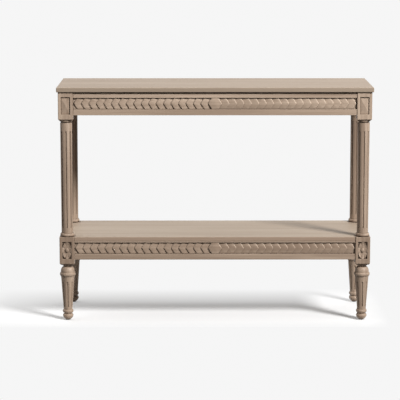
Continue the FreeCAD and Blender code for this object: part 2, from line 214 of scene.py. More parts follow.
def newGroup(name, inputs, outputs):
    group = bpy.data.node_groups.new(name, "ShaderNodeTree")
    for label, kind, value in inputs:
        socket = group.interface.new_socket(name=label, in_out="INPUT", socket_type=kind)
        if value is not None:
            socket.default_value = value
    for label, kind in outputs:
        group.interface.new_socket(name=label, in_out="OUTPUT", socket_type=kind)
    given = addNode(group, "NodeGroupInput").outputs
    made = addNode(group, "NodeGroupOutput").inputs
    return group, given, made


def placeGroup(tree, group):
    node = addNode(tree, "ShaderNodeGroup", node_tree=group)
    return node.inputs, node.outputs


def stretchedNoise(tree, vector, stretch, detail, roughness=0.55):  # stretch is features per metre
    mapping = addNode(tree, "ShaderNodeMapping")
    mapping.inputs["Scale"].default_value = stretch
    tree.links.new(vector, mapping.inputs["Vector"])
    noise = addNode(tree, "ShaderNodeTexNoise")
    noise.inputs["Scale"].default_value = 1
    noise.inputs["Detail"].default_value = detail
    noise.inputs["Roughness"].default_value = roughness
    tree.links.new(mapping.outputs["Vector"], noise.inputs["Vector"])
    return noise.outputs[0]


def spread(tree, value, low, high, least=0, most=1):  # low..high to least..most, held there
    node = addNode(tree, "ShaderNodeMapRange", clamp=True)
    tree.links.new(value, node.inputs["Value"])
    for label, number in (("From Min", low), ("From Max", high), ("To Min", least), ("To Max", most)):
        node.inputs[label].default_value = number
    return node.outputs[0]


def sums(tree, operation, first, second):
    node = addNode(tree, "ShaderNodeMath", operation=operation)
    for socket, value in zip(node.inputs, (first, second)):
        if isinstance(value, (int, float)):
            socket.default_value = value
        else:
            tree.links.new(value, socket)
    return node.outputs[0]


def blendColours(tree, share, first, second, way="MIX"):
    node = addNode(tree, "ShaderNodeMix", data_type="RGBA", blend_type=way)
    for socket, value in zip((node.inputs[0], node.inputs[6], node.inputs[7]), (share, first, second)):
        if hasattr(value, "is_linked"):
            tree.links.new(value, socket)
        else:
            socket.default_value = value
    return node.outputs[2]


def alongAxis(tree, vector, axis):
    node = addNode(tree, "ShaderNodeVectorMath", operation="DOT_PRODUCT")
    tree.links.new(vector, node.inputs[0])
    node.inputs[1].default_value = axis
    return node.outputs["Value"]


def facing(tree, place, axis, low, high, most=1):  # how squarely the surface looks along an axis, either way
    squarely = sums(tree, "ABSOLUTE", alongAxis(tree, place.outputs["Normal"], axis), 0)
    return spread(tree, squarely, low, high, 0, most)


def newFinish(name):
    finish = bpy.data.materials.new(name)
    finish.use_nodes = True
    tree = finish.node_tree
    return finish, tree, tree.nodes["Principled BSDF"]


def addBump(tree, shader, height, strength, distance):
    bump = addNode(tree, "ShaderNodeBump")
    bump.inputs["Strength"].default_value = strength
    bump.inputs["Distance"].default_value = distance
    tree.links.new(height, bump.inputs["Height"])
    tree.links.new(bump.outputs["Normal"], shader.inputs["Normal"])


# limed oak: long fibre streaks, broad tone and short pores, with the grain along X

grainWork = {
    "fibre": (2.4, 85, 85),  # features per metre along and across the grain
    "fibreDetail": 5,
    "fibreRoughness": 0.62,
    "broad": (0.9, 11, 11),
    "broadDetail": 3,
    "pores": (24, 620, 620),
    "poreDetail": 2,
    "noiseMiddle": 0.5,
    "tones": (0.3, 0.7),  # noise from dark wood to pale
    "poreEdges": (0.56, 0.7),
    "roughness": (0.6, 0.46),  # of dark fibre and of pale
    "fibreRelief": 0.4,
}


def buildOakGrain():
    group, given, made = newGroup(
        "oakGrain",
        [
            ("Vector", "NodeSocketVector", None),
            ("Dark", "NodeSocketColor", None),
            ("Pale", "NodeSocketColor", None),
            ("Figure", "NodeSocketFloat", 0.5),
            ("Pores", "NodeSocketFloat", 0.3),
        ],
        [("Color", "NodeSocketColor"), ("Roughness", "NodeSocketFloat"), ("Height", "NodeSocketFloat")],
    )
    work = grainWork
    vector = given["Vector"]
    fibre = stretchedNoise(group, vector, work["fibre"], work["fibreDetail"], work["fibreRoughness"])
    broad = stretchedNoise(group, vector, work["broad"], work["broadDetail"])
    pores = stretchedNoise(group, vector, work["pores"], work["poreDetail"])
    swing = sums(group, "SUBTRACT", fibre, work["noiseMiddle"])
    tone = sums(group, "ADD", sums(group, "MULTIPLY", swing, given["Figure"]), broad)
    wood = blendColours(group, spread(group, tone, *work["tones"]), given["Dark"], given["Pale"])
    poreMask = spread(group, pores, *work["poreEdges"])
    poreShare = sums(group, "MULTIPLY", poreMask, given["Pores"])
    wood = blendColours(group, poreShare, wood, given["Dark"])
    group.links.new(wood, made["Color"])
    group.links.new(spread(group, fibre, *work["tones"], *work["roughness"]), made["Roughness"])
    relief = sums(group, "SUBTRACT", sums(group, "MULTIPLY", fibre, work["fibreRelief"]), poreMask)
    group.links.new(relief, made["Height"])
    return group


# boards glued up from staves: each stave has its own shift along the grain and its own tone

# metres: the most along the grain, and the step in depth from one stave to the next
staveWork = {"alongShift": 3, "depthStep": 0.37}


def buildGluedStaves():
    group, given, made = newGroup(
        "gluedStaves",
        [("Vector", "NodeSocketVector", None), ("Width", "NodeSocketFloat", 0.1)],
        [("Vector", "NodeSocketVector"), ("Tone", "NodeSocketFloat")],
    )
    parts = addNode(group, "ShaderNodeSeparateXYZ")
    group.links.new(given["Vector"], parts.inputs[0])
    stave = sums(group, "FLOOR", sums(group, "DIVIDE", parts.outputs["Y"], given["Width"]), 0)
    pick = addNode(group, "ShaderNodeTexWhiteNoise", noise_dimensions="1D")
    group.links.new(stave, pick.inputs["W"])
    shift = sums(group, "MULTIPLY", pick.outputs["Value"], staveWork["alongShift"])
    shifted = sums(group, "ADD", parts.outputs["X"], shift)
    depth = sums(group, "ADD", parts.outputs["Z"], sums(group, "MULTIPLY", stave, staveWork["depthStep"]))
    joined = addNode(group, "ShaderNodeCombineXYZ")
    for socket, value in zip(joined.inputs, (shifted, parts.outputs["Y"], depth)):
        group.links.new(value, socket)
    group.links.new(joined.outputs[0], made["Vector"])
    group.links.new(pick.outputs["Value"], made["Tone"])
    return group


# shade and wear: hollows, overhangs and the gaps between pieces get dark wax and painted shade, and the
# arrises are rubbed pale

# how solid the wood is behind an arris where the rub starts, and where it is full
shadeAndWearWork = {"samples": 16, "rubbedFrom": 0.85, "rubbedFull": 0.35}


def buildShadeAndWear():
    group, given, made = newGroup(
        "shadeAndWear",
        [
            ("Color", "NodeSocketColor", None),
            ("ShadeWax", "NodeSocketColor", None),
            ("Rubbed", "NodeSocketColor", None),
            ("ShadeWax Share", "NodeSocketFloat", 0.8),
            ("ShadeWax Edge", "NodeSocketFloat", 0.88),
            ("ShadeWax Full", "NodeSocketFloat", 0.5),
            ("Rubbed Share", "NodeSocketFloat", 0.4),
            ("Reach", "NodeSocketFloat", 0.01),
            ("Rub Reach", "NodeSocketFloat", 0.003),
        ],
        [("Color", "NodeSocketColor"), ("ShadeWax", "NodeSocketFloat")],
    )
    work = shadeAndWearWork
    # painted shade with dark wax: darker where little light gets in, next to other pieces too
    hollow = addNode(group, "ShaderNodeAmbientOcclusion", samples=work["samples"])
    group.links.new(given["Reach"], hollow.inputs["Distance"])
    arris = addNode(
        group, "ShaderNodeAmbientOcclusion", samples=work["samples"], only_local=True, inside=True
    )
    group.links.new(given["Rub Reach"], arris.inputs["Distance"])
    shadeWaxMask = addNode(group, "ShaderNodeMapRange", clamp=True)
    group.links.new(hollow.outputs["AO"], shadeWaxMask.inputs["Value"])
    group.links.new(given["ShadeWax Edge"], shadeWaxMask.inputs["From Min"])
    group.links.new(given["ShadeWax Full"], shadeWaxMask.inputs["From Max"])
    waxShare = sums(group, "MULTIPLY", shadeWaxMask.outputs[0], given["ShadeWax Share"])
    rubMask = spread(group, arris.outputs["AO"], work["rubbedFrom"], work["rubbedFull"])
    rubShare = sums(group, "MULTIPLY", rubMask, given["Rubbed Share"])
    rubbedAndHighlight = blendColours(group, rubShare, given["Color"], given["Rubbed"])
    shadeWaxed = blendColours(group, waxShare, rubbedAndHighlight, given["ShadeWax"])
    group.links.new(shadeWaxed, made["Color"])
    group.links.new(waxShare, made["ShadeWax"])
    return group


oakGrain = buildOakGrain()
gluedStaves = buildGluedStaves()
shadeAndWear = buildShadeAndWear()

oakLook = {
    "dark": (0.27, 0.193, 0.139, 1),
    "pale": (0.46, 0.352, 0.266, 1),
    # dark wax and painted shade in hollows and between pieces
    "wax": (0.034, 0.016, 0.006, 1),
    # pale rub on the arrises, and a painted highlight on carved rims
    "rubbedAndHighlight": (0.56, 0.46, 0.37, 1),
    "figure": 0.9,
    "pores": 0.3,
    "sheen": 0.3,
    "waxShare": 0.95,
    "shadeWaxEdge": 0.88,  # how open a hollow is where its painted shade and wax start, and where they are full
    "shadeWaxFull": 0.5,
    "rubbedShare": 0.35,
    "reach": 15 * mm,
    "rubReach": 3 * mm,
    "staves": 0,  # width of a glued stave, 0 for one plank
    "staveTone": 0.1,
    "paintedSheen": None,  # painted sheen: what a board's upward face is multiplied by, paler and greyer
    "paintedSheenTurn": (0.6, 0.9),  # how level the surface is where that starts, and where it is full
    "rimAxis": None,  # the way a carving looks, where its rims are rubbed pale all round and painted with a highlight
    "rimTurn": (0.95, 0.75),  # how squarely a rim still looks that way, from no pale rim to a fully pale one
    "rimShare": 0.35,
    "bump": 0.12,
    "bumpHeight": 0.4 * mm,
}
topLook = {"dark": (0.276, 0.2105, 0.155, 1), "pale": (0.333, 0.261, 0.197, 1), "figure": 0.6}
shelfLook = {
    "dark": (0.275, 0.194, 0.14, 1),
    "pale": (0.332, 0.242, 0.178, 1),
    "figure": 0.6,
    # painted sheen on the shelf's upper face
    "paintedSheen": (1.116, 1.225, 1.261, 1),
}
# turned and lower work: painted shade, its oak darker than the rest
shadedLowerLook = {"dark": (0.238, 0.168, 0.12, 1), "pale": (0.405, 0.306, 0.229, 1)}
levelLooks = {"upper": {}, "lower": shadedLowerLook}
# upper aprons: painted light, their oak paler than the rest, and a fuller painted shade under the top
litUpperApronLook = {
    "dark": (0.31, 0.225, 0.163, 1),
    "pale": (0.48, 0.368, 0.279, 1),
    "shadeWaxEdge": 0.86,
    "shadeWaxFull": 0.74,
}
apronLooks = {"upper": litUpperApronLook, "lower": shadedLowerLook}
grainTurns = {"X": (0, 0, 0), "Y": (0, 0, -quarterTurn), "Z": (0, quarterTurn, 0)}


def oakFinish(name, grain, shift, **changes):
    look = {**oakLook, **changes}
    finish, tree, shader = newFinish(name)
    place = addNode(tree, "ShaderNodeTexCoord")
    turned = addNode(tree, "ShaderNodeMapping")
    turned.inputs["Rotation"].default_value = grainTurns[grain]
    turned.inputs["Location"].default_value = (shift, 2 * shift, 3 * shift)
    tree.links.new(place.outputs["Object"], turned.inputs["Vector"])
    vector = turned.outputs["Vector"]
    grainIn, grainOut = placeGroup(tree, oakGrain)
    grainIn["Dark"].default_value = look["dark"]
    grainIn["Pale"].default_value = look["pale"]
    grainIn["Figure"].default_value = look["figure"]
    grainIn["Pores"].default_value = look["pores"]
    colour = grainOut["Color"]
    if look["staves"]:
        staveIn, staveOut = placeGroup(tree, gluedStaves)
        staveIn["Width"].default_value = look["staves"]
        tree.links.new(vector, staveIn["Vector"])
        vector = staveOut["Vector"]
        share = spread(tree, staveOut["Tone"], 0, 1, 0, look["staveTone"])
        colour = blendColours(tree, share, colour, look["dark"])
    tree.links.new(vector, grainIn["Vector"])
    # painted sheen: upward faces paler and greyer
    if look["paintedSheen"]:
        faces = facing(tree, place, (0, 0, 1), *look["paintedSheenTurn"])
        colour = blendColours(tree, faces, colour, look["paintedSheen"], "MULTIPLY")
    # rims rubbed pale all round, partly a painted highlight
    if look["rimAxis"]:
        rims = facing(tree, place, look["rimAxis"], *look["rimTurn"], look["rimShare"])
        colour = blendColours(tree, rims, colour, look["rubbedAndHighlight"])
    # dark wax and painted shade in the hollows, and rubbed pale arrises
    shadeWearIn, shadeWearOut = placeGroup(tree, shadeAndWear)
    shadeWearIn["ShadeWax"].default_value = look["wax"]
    shadeWearIn["Rubbed"].default_value = look["rubbedAndHighlight"]
    shadeWearIn["ShadeWax Share"].default_value = look["waxShare"]
    shadeWearIn["ShadeWax Edge"].default_value = look["shadeWaxEdge"]
    shadeWearIn["ShadeWax Full"].default_value = look["shadeWaxFull"]
    shadeWearIn["Rubbed Share"].default_value = look["rubbedShare"]
    shadeWearIn["Reach"].default_value = look["reach"]
    shadeWearIn["Rub Reach"].default_value = look["rubReach"]
    tree.links.new(colour, shadeWearIn["Color"])
    tree.links.new(shadeWearOut["Color"], shader.inputs["Base Color"])
    shader.inputs["Specular IOR Level"].default_value = look["sheen"]
    dulled = sums(tree, "MAXIMUM", grainOut["Roughness"], shadeWearOut["ShadeWax"])  # the painted shade and wax in the hollows is also dull
    tree.links.new(dulled, shader.inputs["Roughness"])
    addBump(tree, shader, grainOut["Height"], look["bump"], look["bumpHeight"])
    return finish


print("oak finish ready")


# top board

topWork = {"easing": 2.5, "easingSteps": 3, "staveWidth": 83, "grainShift": 0.31}


def makeTop():
    low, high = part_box("table_top")
    top = cutBox("tableTop", low, high)
    easeArrises(top, topWork["easing"] * mm, topWork["easingSteps"])
    staves = topWork["staveWidth"] * mm
    finish = oakFinish("topOak", "X", topWork["grainShift"], staves=staves, **topLook)
    fitPiece(top, finish, "table_top")
    print("top board ready")


# shelf, notched round the lower blocks

shelfWork = {"easing": 1.5, "notchFit": 0.2, "overrun": 5, "staveWidth": 97, "grainShift": 1.73}


def makeShelf():
    low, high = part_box("shelf")
    shelf = cutBox("shelfBoard", low, high)
    reach = Vector((1, 1, 1)) * shelfWork["notchFit"] * mm
    for corner in corners:
        blockLow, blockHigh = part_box("lower_block_" + corner)
        blockLow.z = low.z - shelfWork["overrun"] * mm
        blockHigh.z = high.z + shelfWork["overrun"] * mm
        cutAway(shelf, cutBox("notch", blockLow - reach, blockHigh + reach))
    easeArrises(shelf, shelfWork["easing"] * mm)
    staves = shelfWork["staveWidth"] * mm
    finish = oakFinish("shelfOak", "X", shelfWork["grainShift"], staves=staves, **shelfLook)
    fitPiece(shelf, finish, "shelf")
    print("shelf ready")


# aprons, grooved for the friezes on the front and the two ends

apronWork = {"easing": 0.9, "grooveFit": 0.2, "endFit": 0.1, "longShift": 0.87, "sideShift": 2.41}


def makeApron(level, side, finish):
    node = f"{level}_apron_{side}"
    low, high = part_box(node)
    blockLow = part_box("upper_block_back_right")[0]
    along = 0 if side in ("front", "back") else 1  # the tenons inside the blocks are left off
    high[along] = blockLow[along] - apronWork["endFit"] * mm
    low[along] = -high[along]
    apron = cutBox(f"{level}Apron{side.capitalize()}", low, high)
    if side != "back":
        cutGroove(apron, level, side)
    easeArrises(apron, apronWork["easing"] * mm)
    fitPiece(apron, finish, node)


def cutGroove(apron, level, side):
    stripLow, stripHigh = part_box(f"{level}_frieze_{side}")
    fit = apronWork["grooveFit"] * mm
    grooveLow = stripLow.z - fit
    grooveHigh = stripHigh.z + fit
    outward = {"front": Vector((0, -1, 0)), "left": Vector((-1, 0, 0)), "right": Vector((1, 0, 0))}[side]
    for edgeHeight in (grooveLow, grooveHigh):
        pickAll(apron)
        bpy.ops.mesh.bisect(plane_co=(0, 0, edgeHeight), plane_no=(0, 0, 1))
    squarely = benchWork["squarely"]
    pickFaces(
        apron, lambda middle, normal: normal.dot(outward) > squarely and grooveLow < middle.z < grooveHigh
    )
    bpy.ops.mesh.extrude_region_move(TRANSFORM_OT_translate={"value": -outward * grooveDepth()})
    bpy.ops.object.mode_set(mode="OBJECT")


def grooveDepth():
    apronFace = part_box("upper_apron_front")[0].y
    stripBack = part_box("upper_frieze_front")[1].y
    return stripBack - apronFace


def makeAprons():
    for level in levels:
        longFinish = oakFinish(f"{level}LongApronOak", "X", apronWork["longShift"], **apronLooks[level])
        sideFinish = oakFinish(f"{level}SideApronOak", "Y", apronWork["sideShift"], **apronLooks[level])
        for side in faceTurns:
            makeApron(level, side, longFinish if side in ("front", "back") else sideFinish)
    print("aprons ready")


# friezes: round-cornered six-sided coins that lap outwards from one whole coin in the middle

friezeWork = {
    "coinLength": 55,
    "overreach": 1.5,
    "flatShare": 0.46,
    "tipFrom": 0.4,  # share of the length beyond which a corner is one of the two tips
    "cornerCut": 3.6,
    "cornerSteps": 4,
    "rim": 3.6,
    "rimSteps": 3,
    "pitchAim": 28.7,
    "step": 4.4,
    "endGap": 2,
    "belowFace": 1,
    "backing": 2,
    "bedding": 0.4,
    "smoothing": 40,  # degrees
    # dark wax and painted shade in the laps; pale rub set high so the rims also carry a painted highlight
    "waxShare": 0.85,
    "shadeWaxReach": 3,
    "rubbedShare": 0.9,
    "rubReach": 1.9,  # less than the backing
    "longShift": 3.3,
    "sideShift": 4.1,
}


def carveCoin(stripHeight):  # lies at the origin with its face towards -Y
    work = friezeWork
    length = work["coinLength"] * mm
    height = stripHeight + 2 * work["overreach"] * mm
    thickness = grooveDepth()
    deselectAll()
    bpy.ops.mesh.primitive_cylinder_add(
        vertices=6, radius=length / 2, depth=thickness, rotation=(quarterTurn, quarterTurn, 0)
    )
    coin = bpy.context.object
    coin.location.y = thickness / 2
    bakePlace(coin)
    sixSided = length * math.sin(math.pi / 3)
    pickAll(coin)
    bpy.ops.transform.resize(value=(1, 1, height / sixSided), center_override=(0, 0, 0))
    pickPoints(coin, lambda point: abs(point.x) < length * work["tipFrom"])
    bpy.ops.transform.resize(value=(2 * work["flatShare"], 1, 1), center_override=(0, 0, 0))
    pickEdges(coin, lambda a, b: abs(a.y - b.y) > thickness / 2)
    bpy.ops.mesh.bevel(offset=work["cornerCut"] * mm, segments=work["cornerSteps"], affect="EDGES")
    pickEdges(coin, lambda a, b: max(a.y, b.y) < thickness / 4)
    bpy.ops.mesh.bevel(offset=work["rim"] * mm, segments=work["rimSteps"], affect="EDGES")
    for side in (-1, 1):  # trimmed level above and below
        bpy.ops.mesh.select_all(action="SELECT")
        bpy.ops.mesh.bisect(
            plane_co=(0, 0, side * stripHeight / 2), plane_no=(0, 0, side), use_fill=True, clear_outer=True
        )
    bpy.ops.object.mode_set(mode="OBJECT")
    return coin


def makeStrip(name, node, along):  # one strip seen from the front, its middle at the origin
    low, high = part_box(node)
    half = (high[along] - low[along]) / 2
    height = high.z - low.z
    depth = grooveDepth()
    coinHalf = friezeWork["coinLength"] * mm / 2
    run = half - coinHalf - friezeWork["endGap"] * mm
    eachSide = max(1, round(run / (friezeWork["pitchAim"] * mm)))
    pitch = run / eachSide
    slope = friezeWork["step"] * mm / pitch
    coin = carveCoin(height)
    pieces = []
    for index in range(-eachSide, eachSide + 1):
        lap = (index > 0) - (index < 0)
        drop = friezeWork["belowFace"] * mm + abs(lap) * coinHalf * slope
        pieces.append(copyTo(coin, "coin", (index * pitch, drop, 0), -lap * math.atan(slope)))
    bpy.data.objects.remove(coin)
    bedded = depth - friezeWork["bedding"] * mm
    for piece in pieces:
        for point in piece.data.vertices:
            point.co.y = min(point.co.y, bedded)  # the coins' backs are planed flat inside the backing
    strip = pieces[0]
    takeUp(strip)
    for piece in pieces:
        piece.select_set(True)
    bpy.ops.object.join()
    strip.name = name
    backLow = (-half, depth - friezeWork["backing"] * mm, -height / 2)
    backing = cutBox("backing", backLow, (half, depth, height / 2))
    cutAway(strip, backing, "UNION")
    cleanCuts(strip)
    smoothPiece(strip, friezeWork["smoothing"])
    return strip


def makeFriezes():
    shadeWaxing = {
        "waxShare": friezeWork["waxShare"],
        "reach": friezeWork["shadeWaxReach"] * mm,
        "rubbedShare": friezeWork["rubbedShare"],
        "rubReach": friezeWork["rubReach"] * mm,
    }
    longStrip = makeStrip("longStrip", "upper_frieze_front", 0)
    sideStrip = makeStrip("sideStrip", "upper_frieze_left", 1)
    longFinish = oakFinish("longFriezeOak", "X", friezeWork["longShift"], rimAxis=(0, 1, 0), **shadeWaxing)
    sideFinish = oakFinish("sideFriezeOak", "Y", friezeWork["sideShift"], rimAxis=(1, 0, 0), **shadeWaxing)
    for level in levels:
        for side, finish in (("front", longFinish), ("left", sideFinish), ("right", sideFinish)):
            node = f"{level}_frieze_{side}"
            apronLow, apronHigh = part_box(f"{level}_apron_{side}")
            stripLow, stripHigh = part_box(node)
            middleZ = (stripLow.z + stripHigh.z) / 2
            place = {
                "front": (0, apronLow.y, middleZ),
                "left": (apronLow.x, 0, middleZ),
                "right": (apronHigh.x, 0, middleZ),
            }[side]
            model = longStrip if side == "front" else sideStrip
            strip = copyTo(model, f"{level}Frieze{side.capitalize()}", place, faceTurns[side])
            fitPiece(strip, finish, node)
    for model in (longStrip, sideStrip):
        bpy.data.objects.remove(model)
    print("friezes ready")


# corner blocks with sunk panels; the upper ones have a diamond point in each panel

blockWork = {
    "faceHeight": 105,
    "chamferRun": 5,
    "arrisRound": 2.5,
    "arrisSteps": 4,
    "border": 11,
    "endMargin": 19,
    "flatWithin": 0.1,  # how near the outer face is picked
    "panelDepth": 5,
    "diamondRise": 4.5,
    "easing": 0.7,
    # dark wax and painted shade in the sunk panels, fuller on the lower blocks
    "upperShadeWax": 0.6,
    "lowerShadeWax": 0.95,
    "shadeWaxReach": 7,
    "upperShift": 5.2,
    "lowerShift": 6.9,
}


def makeBlock(level, corner, finish):
    node = f"{level}_block_{corner}"
    low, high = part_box(node)
    xSign, ySign = corners[corner]
    faceLow = high.z - blockWork["faceHeight"] * mm
    width = high.x - low.x
    block = cutBox(f"{level}Block_{corner}", (low.x, low.y, faceLow), high)
    middle = (low + high) / 2
    pickFaces(block, lambda centre, normal: normal.z < -benchWork["squarely"])
    bpy.ops.mesh.extrude_region_move(TRANSFORM_OT_translate={"value": (0, 0, low.z - faceLow)})
    taper = 1 - 2 * blockWork["chamferRun"] * mm / width
    bpy.ops.transform.resize(value=(taper, taper, 1), center_override=(middle.x, middle.y, low.z))
    pickEdges(block, lambda a, b: abs(a.z - b.z) > mm)  # the upright arrises, down to the foot
    bpy.ops.mesh.bevel(
        offset=blockWork["arrisRound"] * mm, segments=blockWork["arrisSteps"], affect="EDGES"
    )
    bpy.ops.object.mode_set(mode="OBJECT")
    outwards = [Vector((xSign, 0, 0))]
    if ySign < 0:
        outwards.append(Vector((0, -1, 0)))
    for outward in outwards:
        sinkPanel(block, outward, level == "upper")
    easeArrises(block, blockWork["easing"] * mm)
    fitPiece(block, finish, node)


def sinkPanel(block, outward, pointed):
    margin = (blockWork["border"] - blockWork["arrisRound"]) * mm
    face = max(point.co.dot(outward) for point in block.data.vertices)
    near = face - blockWork["flatWithin"] * mm
    pickFaces(block, lambda centre, normal: centre.dot(outward) > near)
    bpy.ops.mesh.inset(thickness=margin)
    bpy.ops.object.mode_set(mode="OBJECT")
    panel = next(polygon for polygon in block.data.polygons if polygon.select)
    centre = panel.center.copy()
    insetHeight = blockWork["faceHeight"] * mm - 2 * margin
    panelHeight = (blockWork["faceHeight"] - 2 * blockWork["endMargin"]) * mm
    bpy.ops.object.mode_set(mode="EDIT")
    bpy.ops.transform.resize(value=(1, 1, panelHeight / insetHeight), center_override=centre)
    bpy.ops.mesh.extrude_region_move(
        TRANSFORM_OT_translate={"value": -outward * blockWork["panelDepth"] * mm}
    )
    if pointed:
        bpy.ops.mesh.poke(offset=blockWork["diamondRise"] * mm)
        bpy.ops.mesh.mark_sharp()  # the four facets stay flat
    bpy.ops.object.mode_set(mode="OBJECT")


def makeBlocks():
    for level in levels:
        finish = oakFinish(
            f"{level}BlockOak",
            "Z",
            blockWork[level + "Shift"],
            waxShare=blockWork[level + "ShadeWax"],
            reach=blockWork["shadeWaxReach"] * mm,
            **levelLooks[level],
        )
        for corner in corners:
            makeBlock(level, corner, finish)
    print("blocks ready")


# rosettes: a dish of petals round a domed boss, carved round and then drawn out to an oval

rosetteWork = {
    "petals": 8,
    "segments": 96,
    "lipRise": 4.6,
    "ringRise": 1.2,
    "ringShare": 0.48,
    "bossWidth": 15,
    "bossHeight": 19,
    "bossRise": 6.4,
    "bossSegments": 40,
    "bossRings": 20,
    "veinDepth": 2.5,
    "veinPower": 4,  # the higher, the narrower the vein
    "ringSteps": 22,
    "smoothing": 45,  # degrees
    # dark wax and painted shade in the dish and round the boss
    "waxShare": 0.9,
    "shadeWaxReach": 9,
    "rubbedShare": 0,
    "grainShift": 8.3,
}


def petalRise(share, angle):
    work = rosetteWork
    climb = max(0, (share - work["ringShare"]) / (1 - work["ringShare"]))
    turn = angle / (2 * math.pi) * work["petals"]
    offMiddle = abs(turn - round(turn)) * 2  # 0 in the middle of a petal, 1 between two
    steepening = (climb + 2 * climb ** 2) / 3  # from 0 at the ring to 1 at the lip
    dish = work["ringRise"] + (work["lipRise"] - work["ringRise"]) * steepening
    return dish - work["veinDepth"] * climb * offMiddle ** work["veinPower"]


def carveRosette(halfWidth, halfHeight):  # lies at the origin with its back on y = 0
    deselectAll()
    bpy.ops.mesh.primitive_circle_add(
        vertices=rosetteWork["segments"], radius=halfWidth, fill_type="NGON", rotation=(quarterTurn, 0, 0)
    )
    rosette = bpy.context.object
    bakePlace(rosette)
    pickAll(rosette)
    bpy.ops.mesh.extrude_region_move(
        TRANSFORM_OT_translate={"value": (0, -rosetteWork["lipRise"] * mm, 0)}
    )
    ring = halfWidth / rosetteWork["ringSteps"]
    for step in range(rosetteWork["ringSteps"] - 1):
        bpy.ops.mesh.inset(thickness=ring)
    bpy.ops.mesh.poke()
    bpy.ops.mesh.select_all(action="SELECT")
    bpy.ops.mesh.normals_make_consistent(inside=False)
    bpy.ops.object.mode_set(mode="OBJECT")
    for point in rosette.data.vertices:
        if point.co.y < -rosetteWork["lipRise"] * mm / 2:
            share = math.hypot(point.co.x, point.co.z) / halfWidth
            point.co.y = -petalRise(share, math.atan2(point.co.x, point.co.z)) * mm
    pickAll(rosette)
    bpy.ops.transform.resize(value=(1, 1, halfHeight / halfWidth), center_override=(0, 0, 0))
    bpy.ops.object.mode_set(mode="OBJECT")
    cutAway(rosette, turnBoss(), "UNION")
    cleanCuts(rosette)
    smoothPiece(rosette, rosetteWork["smoothing"])
    return rosette


def turnBoss():  # a rounder oval than the dish, half sunk in its floor
    work = {key: value * mm for key, value in rosetteWork.items()}
    deselectAll()
    bpy.ops.mesh.primitive_uv_sphere_add(
        segments=rosetteWork["bossSegments"],
        ring_count=rosetteWork["bossRings"],
        radius=1,
        location=(0, -work["ringRise"], 0),
    )
    boss = bpy.context.object
    boss.scale = (work["bossWidth"] / 2, work["bossRise"] - work["ringRise"], work["bossHeight"] / 2)
    bakePlace(boss)
    pickAll(boss)
    bpy.ops.mesh.bisect(
        plane_co=(0, -work["ringRise"] / 2, 0), plane_no=(0, 1, 0), use_fill=True, clear_outer=True
    )
    bpy.ops.object.mode_set(mode="OBJECT")
    return boss


def makeRosettes():
    finish = oakFinish(
        "rosetteOak",
        "Z",
        rosetteWork["grainShift"],
        waxShare=rosetteWork["waxShare"],
        reach=rosetteWork["shadeWaxReach"] * mm,
        rubbedShare=rosetteWork["rubbedShare"],
        **shadedLowerLook,
    )
    low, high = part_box("rosette_front_left")
    model = carveRosette((high.x - low.x) / 2, (high.z - low.z) / 2)
    depth = blockWork["panelDepth"] * mm
    for corner, (xSign, ySign) in corners.items():
        blockLow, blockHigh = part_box("lower_block_" + corner)
        yName, xName = corner.split("_")
        middle = (blockLow + blockHigh) / 2
        middle.z = (low.z + high.z) / 2
        reach = (blockHigh.x - blockLow.x) / 2 - depth
        faces = {f"rosette_{xName}_side_{yName}": (xName, Vector((xSign * reach, 0, 0)))}
        if ySign < 0:
            faces["rosette_" + corner] = ("front", Vector((0, -reach, 0)))
        for node, (side, offset) in faces.items():
            rosette = copyTo(model, node.replace("rosette", "flower"), middle + offset, faceTurns[side])
            fitPiece(rosette, finish, node)
    bpy.data.objects.remove(model)
    print("rosettes ready")


# turned work: a circle drawn up the lathe profile, then fluted

latheWork = {"segments": 72, "smoothing": 35, "capSteps": 6, "gougeSegments": 20, "gougeRings": 10}


def turnOnLathe(name, profile):  # profile is (radius, height) pairs from the foot up
    deselectAll()
    radius, height = profile[0]
    bpy.ops.mesh.primitive_circle_add(
        vertices=latheWork["segments"], radius=radius, fill_type="NGON", location=(0, 0, height)
    )
    turned = bpy.context.object
    turned.name = name
    bakePlace(turned)
    pickAll(turned)
    for nextRadius, nextHeight in profile[1:]:
        bpy.ops.mesh.extrude_region_move(TRANSFORM_OT_translate={"value": (0, 0, nextHeight - height)})
        grow = nextRadius / radius
        bpy.ops.transform.resize(value=(grow, grow, 1), center_override=(0, 0, nextHeight))
        radius, height = nextRadius, nextHeight
    bpy.ops.mesh.select_all(action="SELECT")
    bpy.ops.mesh.normals_make_consistent(inside=False)
    bpy.ops.object.mode_set(mode="OBJECT")
    return turned


def bead(lowRadius, highRadius, lowHeight, highHeight, bulge, steps=8):  # a half round between two heights
    points = []
    for step in range(steps + 1):
        share = step / steps
        height = (lowHeight + highHeight) / 2 - (highHeight - lowHeight) / 2 * math.cos(math.pi * share)
        straight = lowRadius + (highRadius - lowRadius) * share
        points.append((straight + bulge * math.sin(math.pi * share), height))
    return points


